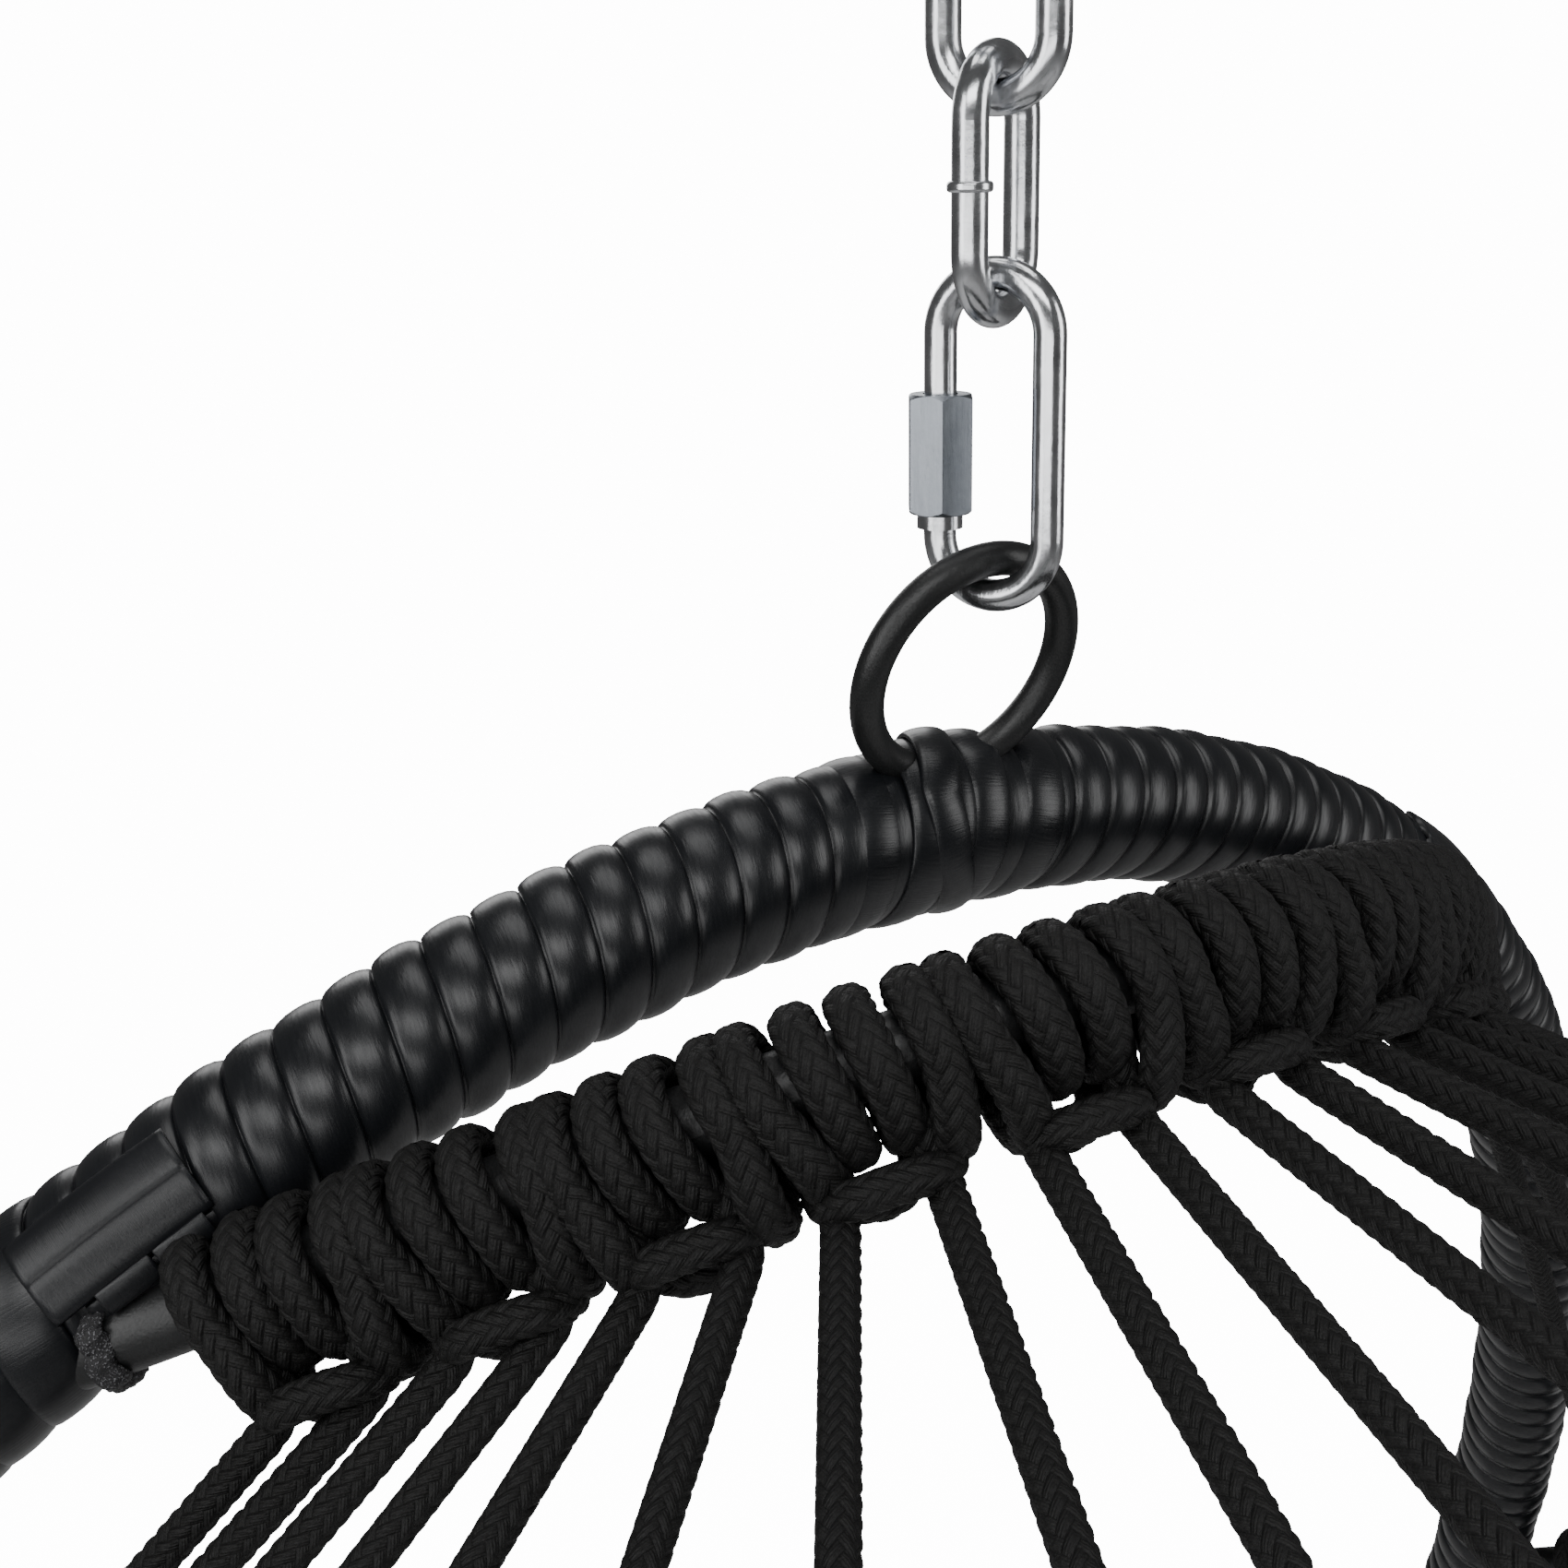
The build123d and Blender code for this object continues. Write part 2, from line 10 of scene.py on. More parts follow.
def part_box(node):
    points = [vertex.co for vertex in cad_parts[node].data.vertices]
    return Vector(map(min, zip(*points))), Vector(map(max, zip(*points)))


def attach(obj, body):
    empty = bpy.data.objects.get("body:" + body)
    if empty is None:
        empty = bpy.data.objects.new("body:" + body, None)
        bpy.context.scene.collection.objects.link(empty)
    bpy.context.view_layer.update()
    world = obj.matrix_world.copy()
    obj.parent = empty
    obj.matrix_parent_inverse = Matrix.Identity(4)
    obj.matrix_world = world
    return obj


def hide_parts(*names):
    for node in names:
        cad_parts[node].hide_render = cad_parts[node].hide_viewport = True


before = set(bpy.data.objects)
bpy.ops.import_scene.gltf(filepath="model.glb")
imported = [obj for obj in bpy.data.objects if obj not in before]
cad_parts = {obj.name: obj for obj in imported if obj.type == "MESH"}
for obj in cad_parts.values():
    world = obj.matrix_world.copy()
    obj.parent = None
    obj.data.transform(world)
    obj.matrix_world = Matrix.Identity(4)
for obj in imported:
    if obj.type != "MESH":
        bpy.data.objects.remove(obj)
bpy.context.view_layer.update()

# ---------------------------------------------------------------- sizes, metres
CORD = 0.008
BAR = 0.016
TURN_WIDTH = 0.0098  # a cord flattens a little where it is pulled round a bar
TURN_RADIUS = (BAR + CORD) / 2
CORD_OVER_TURNS = BAR / 2 + CORD * 1.5 + 0.0006  # a bar's middle to a cord over its turns

RECLINE = radians(19.16)
HOOP_UP = np.array([0.0, sin(RECLINE), cos(RECLINE)])
HOOP_FRONT = np.array([0.0, -cos(RECLINE), sin(RECLINE)])
ACROSS = np.array([1.0, 0.0, 0.0])
RING_REACH = 0.0725
RING_WIRE = 0.008
RING_TOP_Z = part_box("hanging_ring")[1][2] - RING_WIRE / 2
CROWN = np.array([0.0, -RING_REACH * sin(RECLINE), RING_TOP_Z - RING_REACH * cos(RECLINE)])
HOOP_HALF = 0.4786
CROWN_HEIGHT = 0.7274
BOWL_HEIGHT = 0.370

STRIP_PITCH = 0.0117
STRIP_LEAD = 2 * STRIP_PITCH  # two strips are wound side by side
STRIP_GROOVE = 0.0178
STRIP_CREST = 0.0203

KNOT_PLACES = (0.0, 0.043, 0.086, 0.127, 0.167, 0.207)
UPPER_PLACES = (0.028, 0.105, 0.160, 0.212, 0.300, 0.400, 0.525, 0.645, 0.745, 0.835, 0.895)


# ---------------------------------------------------------------- hoop and bars as lines
def unit(v):
    v = np.asarray(v, float)
    return v / np.linalg.norm(v)


def hoop_flat(angle):
    """Across and up from the crown, in the hoop's plane, at an angle from the crown."""
    height = np.where(np.abs(angle) <= pi / 2, CROWN_HEIGHT, BOWL_HEIGHT)
    return HOOP_HALF * np.sin(angle), -CROWN_HEIGHT + height * np.cos(angle)


HOOP_ANGLES = np.linspace(-pi, pi, 4001)
_u, _v = hoop_flat(HOOP_ANGLES)
HOOP_LENGTHS = np.concatenate([[0], np.cumsum(np.hypot(np.diff(_u), np.diff(_v)))])
HOOP_LENGTHS -= np.interp(0.0, HOOP_ANGLES, HOOP_LENGTHS)


def hoop_frame(along):
    """Centre, outward and running directions at lengths along the hoop from its crown."""
    angle = np.interp(along, HOOP_LENGTHS, HOOP_ANGLES)
    u, v = hoop_flat(angle)
    height = np.where(np.abs(angle) <= pi / 2, CROWN_HEIGHT, BOWL_HEIGHT)
    du, dv = HOOP_HALF * np.cos(angle), -height * np.sin(angle)
    size = np.hypot(du, dv)
    centre = CROWN + np.outer(u, ACROSS) + np.outer(v, HOOP_UP)
    outward = np.outer(-dv / size, ACROSS) + np.outer(du / size, HOOP_UP)
    running = np.outer(du / size, ACROSS) + np.outer(dv / size, HOOP_UP)
    return centre, outward, running


def crown_drop_at(half):
    return CROWN_HEIGHT * (1 - sqrt(1 - (half / HOOP_HALF) ** 2))


def bowl_drop_at(half):
    return CROWN_HEIGHT + BOWL_HEIGHT * sqrt(1 - (half / HOOP_HALF) ** 2)


class Arch:
    """A bar bent round one radius with straight legs to the hoop."""

    def __init__(self, back, drop, radius, hoop_drop, leg_end=None):
        self.middle = CROWN + np.array([0.0, back, -drop])
        run = self.middle - (CROWN - HOOP_UP * hoop_drop)
        self.depth = float(np.linalg.norm(run))
        self.rearward = run / self.depth
        self.radius = radius
        self.bend = pi / 2
        if leg_end:
            down = self.depth - radius
            self.bend = atan2(leg_end, -down) - acos(radius / hypot(leg_end, down))
        self.arc = radius * self.bend
        self.leg = (self.depth - radius * (1 - cos(self.bend))) / sin(self.bend)

    def place(self, along):
        """Centre, tangent and outward directions at a signed length from the middle."""
        side = 1 if along >= 0 else -1
        angle = min(abs(along), self.arc) / self.radius
        extra = max(abs(along) - self.arc, 0.0)
        x = side * (self.radius * sin(angle) + extra * cos(angle))
        y = self.radius * (cos(angle) - 1) - extra * sin(angle)
        angle *= side
        centre = self.middle + ACROSS * x + self.rearward * y
        tangent = ACROSS * cos(angle) - self.rearward * sin(angle)
        outward = ACROSS * sin(angle) + self.rearward * cos(angle)
        return centre, tangent, outward

    def half_length(self):
        return self.arc + self.leg


TOP_BAR_END = 0.237  # across from the middle
UPPER_RADIUS, LOWER_RADIUS, SEAT_RADIUS = 0.458, 0.474, 0.311
TOP_BAR = Arch(0.0978, 0.0035, 0.160, crown_drop_at(TOP_BAR_END), TOP_BAR_END)
UPPER_RAIL = Arch(0.430, 0.115, UPPER_RADIUS, crown_drop_at(UPPER_RADIUS))
LOWER_RAIL = Arch(0.560, 0.600, LOWER_RADIUS, CROWN_HEIGHT)
SEAT_RAIL = Arch(0.450, 0.935, SEAT_RADIUS, bowl_drop_at(SEAT_RADIUS))


def even_places(arch):
    step = arch.half_length() / (len(UPPER_PLACES) + 0.5)
    return [step * (n + 0.5) for n in range(len(UPPER_PLACES))]


LOWER_PLACES = even_places(LOWER_RAIL)
SEAT_PLACES = even_places(SEAT_RAIL)


# ---------------------------------------------------------------- mesh helpers
def new_piece(name, bm, material, body="chair"):
    """Turn a bmesh into an object that rides on a body."""
    mesh = bpy.data.meshes.new(name)
    bm.to_mesh(mesh)
    bm.free()
    mesh.polygons.foreach_set("use_smooth", [True] * len(mesh.polygons))
    piece = bpy.data.objects.new(name, mesh)
    bpy.context.scene.collection.objects.link(piece)
    mesh.materials.append(material)
    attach(piece, body)
    return piece


def grid(columns, rows):
    """A flat grid of cells, with u and v from 0 to 1 over it."""
    bm = empty_mesh()
    bmesh.ops.create_grid(bm, x_segments=columns, y_segments=rows, size=0.5, calc_uvs=True)
    return bm


def bend_grid(bm, shape, merge=1e-6):
    """Carry each vertex of a grid to its place on a surface given by shape(u, v)."""
    uv = np.array([vert.co[:2] for vert in bm.verts]) + 0.5
    for vert, place in zip(bm.verts, shape(uv[:, 0], uv[:, 1])):
        vert.co = place
    bmesh.ops.remove_doubles(bm, verts=bm.verts, dist=merge)
    bmesh.ops.recalc_face_normals(bm, faces=bm.faces)


def scale_uv(bm, across, along):
    layer = bm.loops.layers.uv.active
    for face in bm.faces:
        for loop in face.loops:
            uv = loop[layer].uv
            uv.x, uv.y = uv.x * across, uv.y * along


def empty_mesh():
    bm = bmesh.new()
    bm.loops.layers.uv.new("UVMap")
    return bm


def cap_ends(bm, sides):
    ends = [edge for edge in bm.edges if edge.is_boundary]
    bmesh.ops.holes_fill(bm, edges=ends, sides=sides)


def move_into(bm, part):
    """Add one bmesh to another and free it."""
    mesh = bpy.data.meshes.new("part")
    part.to_mesh(mesh)
    part.free()
    bm.from_mesh(mesh)
    bpy.data.meshes.remove(mesh)


# ---------------------------------------------------------------- cord geometry
STRANDS = 8  # strands wound each way
BRAID_STEP = 0.0040  # length of one crossing along the cord
BRAID_MIDDLE = 0.6  # height of the braid that lies on the cord's nominal surface
BRAID_RELIEF = 0.0007


def braid_height(turn, along):
    """Height of the braid, 0 to 1: each strand passes over two and under two."""
    a = STRANDS * turn + along / BRAID_STEP
    b = STRANDS * turn - along / BRAID_STEP
    fa, fb = a - np.floor(a), b - np.floor(b)
    place = (np.floor(a) + np.floor(b)) % 4
    over = place < 2
    across = np.where(over, fa, fb)
    length = np.where(over, (place + fb) / 2, (place - 2 + fa) / 2)
    ridge = np.sqrt(np.clip(1 - (2 * across - 1) ** 2, 0, 1))
    hump = np.clip(np.sin(pi * length), 0, 1) ** 0.35
    return ridge * hump


def smooth_route(corners, radius):
    """Points along straight runs whose corners are rounded with a quadratic curve."""
    corners = [np.asarray(c, float) for c in corners]
    route = [corners[0]]
    for before, corner, after in zip(corners, corners[1:], corners[2:]):
        reach = min(radius, np.linalg.norm(corner - before) * 0.45,
                    np.linalg.norm(after - corner) * 0.45)
        start = corner + unit(before - corner) * reach
        end = corner + unit(after - corner) * reach
        for t in np.linspace(0, 1, 9):
            route.append((1 - t) ** 2 * start + 2 * t * (1 - t) * corner + t ** 2 * end)
    route.append(corners[-1])
    return np.array(route)


def resample(route, step):
    lengths = np.concatenate([[0], np.cumsum(np.linalg.norm(np.diff(route, axis=0), axis=1))])
    count = max(int(lengths[-1] / step), 4)
    at = np.linspace(0, lengths[-1], count + 1)
    points = np.stack([np.interp(at, lengths, route[:, k]) for k in range(3)], axis=1)
    return points, at


def carried_frames(points, first=None, closed=False):
    """A normal and binormal at each point, carried along without twisting."""
    way = np.gradient(points, axis=0)
    if closed:
        way[0] = way[-1] = points[1] - points[-2]
    way /= np.linalg.norm(way, axis=1)[:, None]
    normal = np.zeros_like(points)
    start = np.array([0.0, 0.0, 1.0]) if first is None else first
    normal[0] = unit(start - way[0] * np.dot(start, way[0]))
    for k in range(1, len(points)):
        carried = normal[k - 1] - way[k] * np.dot(normal[k - 1], way[k])
        normal[k] = carried / np.linalg.norm(carried)
    return normal, np.cross(way, normal)


def add_cord(bm, route, step, around, relief, width=CORD, thick=CORD, first=None, closed=False):
    """One braided cord along a route, added to a bmesh with its braid in the UV map."""
    points, at = resample(route, step)
    normal, side = carried_frames(points, first, closed)
    rows = len(points) - 1
    piece = grid(around, rows)

    def shape(u, v):
        k = np.clip(np.rint(v * rows).astype(int), 0, rows)
        lift = relief * (braid_height(u, at[k]) - BRAID_MIDDLE)
        c, s = np.cos(2 * pi * u), np.sin(2 * pi * u)
        return (points[k] + normal[k] * (c * (thick / 2 + lift))[:, None]
                + side[k] * (s * (width / 2 + lift))[:, None])

    bend_grid(piece, shape)
    scale_uv(piece, 1.0, at[-1] / BRAID_STEP)
    if not closed:
        cap_ends(piece, around)
    move_into(bm, piece)


# ---------------------------------------------------------------- materials
def node_material(name):
    material = bpy.data.materials.new(name)
    material.use_nodes = True
    shader = material.node_tree.nodes["Principled BSDF"]
    return material, material.node_tree, shader


def add_node(tree, kind, **settings):
    node = tree.nodes.new(kind)
    for key, value in settings.items():
        if key == "inputs":
            for socket, content in value.items():
                node.inputs[socket].default_value = content
        else:
            setattr(node, key, value)
    return node


def maths(tree, operation, first, second=None, clamp=False):
    node = add_node(tree, "ShaderNodeMath", operation=operation, use_clamp=clamp)
    for socket, content in zip(node.inputs, (first, second)):
        if content is None:
            continue
        if isinstance(content, (int, float)):
            socket.default_value = content
        else:
            tree.links.new(content, socket)
    return node.outputs[0]


def mix_colour(tree, factor, first, second):
    node = add_node(tree, "ShaderNodeMix", data_type="RGBA")
    node.inputs["A"].default_value = (*first, 1)
    node.inputs["B"].default_value = (*second, 1)
    tree.links.new(factor, node.inputs["Factor"])
    return node.outputs["Result"]


def map_range(tree, value, low, high):
    node = add_node(tree, "ShaderNodeMapRange", inputs={"To Min": low, "To Max": high})
    tree.links.new(value, node.inputs["Value"])
    return node.outputs["Result"]


def add_bump(tree, shader, height, strength, distance):
    bump = add_node(tree, "ShaderNodeBump", inputs={"Strength": strength, "Distance": distance})
    tree.links.new(height, bump.inputs["Height"])
    tree.links.new(bump.outputs[0], shader.inputs["Normal"])


def add_noise(tree, place, scale, detail, **extra):
    """Noise on a vector output; gives the noise's value."""
    noise = add_node(tree, "ShaderNodeTexNoise", inputs={"Scale": scale, "Detail": detail, **extra})
    tree.links.new(place, noise.inputs["Vector"])
    return noise.outputs["Fac"]


def object_place(tree):
    return tree.nodes.new("ShaderNodeTexCoord").outputs["Object"]


def braid_group():
    """Node group: height of the braid and of its fibres from a cord's UV map."""
    group = bpy.data.node_groups.new("braid", "ShaderNodeTree")
    group.interface.new_socket("Fibre", in_out="INPUT", socket_type="NodeSocketFloat")
    group.interface.new_socket("Height", in_out="OUTPUT", socket_type="NodeSocketFloat")
    group.interface.new_socket("Fuzz", in_out="OUTPUT", socket_type="NodeSocketFloat")
    given = group.nodes.new("NodeGroupInput")
    out = group.nodes.new("NodeGroupOutput")
    uv = add_node(group, "ShaderNodeUVMap", uv_map="UVMap")
    split = group.nodes.new("ShaderNodeSeparateXYZ")
    group.links.new(uv.outputs[0], split.inputs[0])
    turns = maths(group, "MULTIPLY", split.outputs["X"], float(STRANDS))
    a = maths(group, "ADD", turns, split.outputs["Y"])
    b = maths(group, "SUBTRACT", turns, split.outputs["Y"])
    fa, fb = maths(group, "FRACT", a), maths(group, "FRACT", b)
    cell = maths(group, "ADD", maths(group, "FLOOR", a), maths(group, "FLOOR", b))
    place = maths(group, "FLOORED_MODULO", cell, 4.0)
    over = maths(group, "LESS_THAN", place, 1.5)
    under = maths(group, "SUBTRACT", 1.0, over)

    def choose(first, second):
        return maths(group, "ADD", maths(group, "MULTIPLY", over, first),
                     maths(group, "MULTIPLY", under, second))

    across = choose(fa, fb)
    run = maths(group, "ADD", place, choose(fb, maths(group, "SUBTRACT", fa, 2.0)))
    length = maths(group, "MULTIPLY", run, pi / 2)
    ridge = maths(group, "SINE", maths(group, "MULTIPLY", across, pi))
    hump = maths(group, "POWER", maths(group, "ABSOLUTE", maths(group, "SINE", length)), 0.35)
    both = maths(group, "MULTIPLY", maths(group, "SQRT", ridge), hump)
    fibres = maths(group, "SINE", maths(group, "MULTIPLY", across, 8 * pi))
    fuzz = add_noise(group, object_place(group), 1300.0, 5.0)
    group.links.new(fuzz, out.inputs["Fuzz"])
    fine = maths(group, "ADD", maths(group, "MULTIPLY", fibres, 0.12),
                 maths(group, "MULTIPLY", fuzz, 0.9))
    height = maths(group, "ADD", both, maths(group, "MULTIPLY", fine, given.outputs["Fibre"]))
    group.links.new(height, out.inputs["Height"])
    return group


BRAID = braid_group()


def braided_cord_material():
    material, tree, shader = node_material("braided_cord")
    braid = add_node(tree, "ShaderNodeGroup", node_tree=BRAID)
    braid.inputs["Fibre"].default_value = 0.8
    # base colour follows the braid's height: painted shade darkens the hollows between strands and
    # where a strand dips under another, with a random fibre and fuzz tone mixed in
    tone = mix_colour(tree, braid.outputs["Height"], (0.0012, 0.0012, 0.0012),
                      (0.0058, 0.0057, 0.0055))
    tree.links.new(tone, shader.inputs["Base Color"])
    tree.links.new(map_range(tree, braid.outputs["Fuzz"], 0.45, 0.85),
                   shader.inputs["Roughness"])
    shader.inputs["Specular IOR Level"].default_value = 0.30
    add_bump(tree, shader, braid.outputs["Height"], 0.9, 0.0007)
    return material


def wrapped_strip_material():
    """Glossy black strip with fine streaks that run along it."""
    material, tree, shader = node_material("glossy_strip")
    uv = add_node(tree, "ShaderNodeUVMap", uv_map="UVMap")
    stretch = add_node(tree, "ShaderNodeMapping", inputs={"Scale": (3.0, 26.0, 1.0)})
    tree.links.new(uv.outputs[0], stretch.inputs["Vector"])
    streaks = add_noise(tree, stretch.outputs[0], 1.0, 3.0)
    clouds = add_noise(tree, object_place(tree), 60.0, 3.0)
    tone = mix_colour(tree, clouds, (0.0035, 0.004, 0.005), (0.010, 0.011, 0.013))
    tree.links.new(tone, shader.inputs["Base Color"])
    rough = maths(tree, "ADD", map_range(tree, streaks, 0.22, 0.42),
                  map_range(tree, clouds, -0.05, 0.07))
    tree.links.new(rough, shader.inputs["Roughness"])
    shader.inputs["Specular IOR Level"].default_value = 0.45
    add_bump(tree, shader, streaks, 0.22, 0.0003)
    return material


def powder_coat_material():
    """Satin black powder coat with its fine orange peel."""
    material, tree, shader = node_material("black_powder_coat")
    place = object_place(tree)
    peel = add_noise(tree, place, 1500.0, 2.0)
    broad = add_noise(tree, place, 90.0, 3.0)
    tone = mix_colour(tree, broad, (0.006, 0.0065, 0.0065), (0.013, 0.0135, 0.014))
    tree.links.new(tone, shader.inputs["Base Color"])
    tree.links.new(map_range(tree, broad, 0.34, 0.50), shader.inputs["Roughness"])
    shader.inputs["Specular IOR Level"].default_value = 0.5
    add_bump(tree, shader, peel, 0.35, 0.00025)
    return material


def zinc_material(name, dark, light, smooth, rough):
    """Zinc plate: bright metal with cloudy, brushed patches."""
    material, tree, shader = node_material(name)
    place = object_place(tree)
    draw = add_node(tree, "ShaderNodeMapping", inputs={"Scale": (1.0, 1.0, 0.12)})
    tree.links.new(place, draw.inputs["Vector"])
    brushed = add_noise(tree, draw.outputs[0], 700.0, 4.0)
    clouds = add_noise(tree, place, 160.0, 5.0, Roughness=0.65)
    tone = mix_colour(tree, clouds, dark, light)
    tree.links.new(tone, shader.inputs["Base Color"])
    shader.inputs["Metallic"].default_value = 1.0
    patches = maths(tree, "ADD", map_range(tree, clouds, smooth, rough),
                    map_range(tree, brushed, -0.05, 0.05))
    tree.links.new(patches, shader.inputs["Roughness"])
    add_bump(tree, shader, maths(tree, "ADD", brushed, clouds), 0.30, 0.0002)
    return material


def weld_material():
    """Painted weld with spatter that glints."""
    material, tree, shader = node_material("painted_weld")
    grit = add_noise(tree, object_place(tree), 2200.0, 4.0)
    glints = maths(tree, "GREATER_THAN", grit, 0.60)
    tone = mix_colour(tree, glints, (0.010, 0.010, 0.011), (0.16, 0.16, 0.17))
    tree.links.new(tone, shader.inputs["Base Color"])
    tree.links.new(map_range(tree, grit, 0.35, 0.8), shader.inputs["Roughness"])
    add_bump(tree, shader, grit, 0.9, 0.0006)
    return material


WELD = weld_material()
CORD_BRAID = braided_cord_material()
STRIP = wrapped_strip_material()
COAT = powder_coat_material()
ZINC = zinc_material("bright_zinc", (0.50, 0.51, 0.53), (0.86, 0.87, 0.89), 0.06, 0.34)
NUT_ZINC = zinc_material("dull_zinc", (0.22, 0.24, 0.27), (0.44, 0.47, 0.51), 0.28, 0.50)


# ---------------------------------------------------------------- wrap on the hoop
# part of the strip's width, and height of its back there
STRIP_SECTION = ((0.0, 0.0), (0.02, 0.30), (0.08, 0.55), (0.20, 0.80), (0.36, 0.96),
                 (0.54, 1.0), (0.73, 0.93), (0.89, 0.74), (0.98, 0.50))


def strip_rows(first, last):
    """Lengths and heights of the rows of vertices that form the strips' rounded backs."""
    count = int(round((last - first) / STRIP_PITCH / 2)) * 2
    rows = []
    for strip in range(count):
        for part, height in STRIP_SECTION:
            rows.append((first + (strip + part) * STRIP_PITCH, height, strip + part))
    rows.append((first + count * STRIP_PITCH, 0.0, count))
    return np.array(rows)


def along_at(across):
    """Length along the hoop from its crown, at a distance across from the middle."""
    return float(np.interp(asin(across / HOOP_HALF), HOOP_ANGLES, HOOP_LENGTHS))


JOINT_FROM, JOINT_TO = along_at(0.181), along_at(0.2085)  # where the top bar goes in
JOINT_RADIUS = 0.0186
JOINT_FACING = radians(72)  # the side of the hoop where the wrap is laid flat at the joint
FEATHER = 0.0015  # the wrap goes flat over this length
WRAP_UNEVEN = 0.00035


def hoop_place(along, turn, radius):
    """Points and outward normals on the hoop; turn 0 is on top, pi / 2 is at the back."""
    centre, outward, _ = hoop_frame(along)
    rim = outward * np.cos(turn)[:, None] - HOOP_FRONT * np.sin(turn)[:, None]
    return centre + rim * np.asarray(radius)[:, None], rim


def wrapped_hoop(name, first, last, around):
    """Two flat strips wound side by side round the hoop between two lengths."""
    rows = strip_rows(first, last)
    bm = grid(around, len(rows) - 1)

    def shape(u, v):
        k = np.clip(np.rint(v * (len(rows) - 1)).astype(int), 0, len(rows) - 1)
        along = rows[k, 0] + (u - 0.5) * STRIP_LEAD
        wound = np.floor(rows[k, 2]) + 2 * u  # windings so far, the same on both edges
        uneven = WRAP_UNEVEN * np.sin(wound * 1.7) * rows[k, 1]
        radius = STRIP_GROOVE + (STRIP_CREST - STRIP_GROOVE) * rows[k, 1] + uneven
        inside = np.clip(np.minimum(np.abs(along) - JOINT_FROM, JOINT_TO - np.abs(along))
                         / FEATHER, 0, 1)
        turn = 2 * pi * u
        inside = inside * np.clip(4 * np.cos(turn - JOINT_FACING) - 0.9, 0, 1)
        radius = radius * (1 - inside) + JOINT_RADIUS * inside
        return hoop_place(along, turn, radius)[0]

    bend_grid(bm, shape, merge=2e-6)
    scale_uv(bm, 10.0, (len(rows) - 1) / len(STRIP_SECTION))
    return new_piece(name, bm, STRIP)


def build_wrap():
    half = HOOP_LENGTHS[-1]
    crown_span = 26 * STRIP_PITCH  # the crown has more vertices round the tube
    crown = wrapped_hoop("wrap_crown", -crown_span, crown_span, 72)
    left = wrapped_hoop("wrap_left", crown_span, half, 48)
    right = wrapped_hoop("wrap_right", -half, -crown_span, 48)
    for piece in (crown, left, right):
        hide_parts("hoop_wrap")


build_wrap()


# ---------------------------------------------------------------- single strips over the wrap
def add_strip(bm, points, normals, width, thick, around=16):
    """A crowned strip with closed edges, laid along points with its back to the normals."""
    way = np.gradient(points, axis=0)
    side = np.cross(way, normals)
    side /= np.linalg.norm(side, axis=1)[:, None]
    rows = len(points) - 1
    strip = grid(around, rows)

    def shape(u, v):
        k = np.clip(np.rint(v * rows).astype(int), 0, rows)
        turn = 2 * pi * u
        return (points[k] + normals[k] * (np.sin(turn) * thick / 2)[:, None]
                + side[k] * (np.cos(turn) * width / 2)[:, None])

    bend_grid(strip, shape)
    scale_uv(strip, 2.0, 10.0)
    cap_ends(strip, around)
    move_into(bm, strip)


def add_hoop_band(bm, middle, width, radius, rise=0.0, thick=0.0034):
    """One strip wound once round the hoop, raised where it passes over the ring."""
    turn = np.linspace(-pi, pi, 73)
    along = middle + STRIP_LEAD * turn / (2 * pi)
    lift = rise * np.exp(-(turn / radians(38)) ** 2)
    points, rim = hoop_place(along, turn, radius - thick / 2 + lift)
    add_strip(bm, points, rim, width, thick)


# middle along the hoop, width, outer radius, rise over the ring
RING_BANDS = ((0.0228, 0.0120, 0.0206, 0.0), (-0.0005, 0.0075, 0.0208, 0.0014),
              (0.0080, 0.0132, 0.0213, 0.0014), (-0.0080, 0.0114, 0.0212, 0.0018),
              (-0.0250, 0.0127, 0.0209, 0.0))


def build_ring_strips():
    """Five turns at the ring's feet and one strip that crosses over them."""
    bm = empty_mesh()
    for middle, width, radius, rise in RING_BANDS:
        add_hoop_band(bm, middle, width, radius, rise)
    turn = np.radians(np.linspace(-80, 150, 61))
    along = np.interp(turn, np.radians([-80, 32, 75, 150]), [-0.0090, 0.0088, 0.0078, -0.0010])
    points, rim = hoop_place(along, turn, 0.0202 + 0.0030 * np.exp(-(turn / radians(55)) ** 2))
    add_strip(bm, points, rim, 0.0102, 0.0030)
    piece = new_piece("ring_strips", bm, STRIP)
    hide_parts("ring_binding_left", "ring_binding_right")


def add_lengthwise(bm, side, first, last, turn, width, radius, thick):
    """A strip laid along the hoop, on one side of the crown."""
    along = side * np.linspace(first, last, 25)
    spread = np.linspace(0, pi, 25)
    points, rim = hoop_place(along, np.full(25, turn), radius + 0.0006 * np.sin(spread))
    add_strip(bm, points, rim, width, thick)


# first and last length from the crown, turn in degrees, width, radius, thickness
JOINT_LENGTHWISE = (
    (JOINT_FROM - 0.002, JOINT_TO + 0.002, 14, 0.0116, 0.0196, 0.0036),
    (JOINT_FROM - 0.002, JOINT_TO + 0.002, 41, 0.0112, 0.0195, 0.0036),
    (JOINT_FROM - 0.003, JOINT_TO - 0.004, 78, 0.0130, 0.0180, 0.0024),
    (JOINT_FROM - 0.003, JOINT_TO - 0.004, 106, 0.0130, 0.0180, 0.0024),
    (JOINT_FROM + 0.0005, JOINT_FROM + 0.0125, 63, 0.0062, 0.0205, 0.0022),
    (JOINT_FROM + 0.0135, JOINT_FROM + 0.0262, 63, 0.0062, 0.0205, 0.0022))
# middle length from the crown, width, outer radius
JOINT_BANDS = ((JOINT_TO + 0.0050, 0.0150, 0.0212), (JOINT_TO + 0.0180, 0.0150, 0.0209))
WELD_FROM_END = 0.0425  # from the top bar's end
WELD_RADIUS = 0.0090


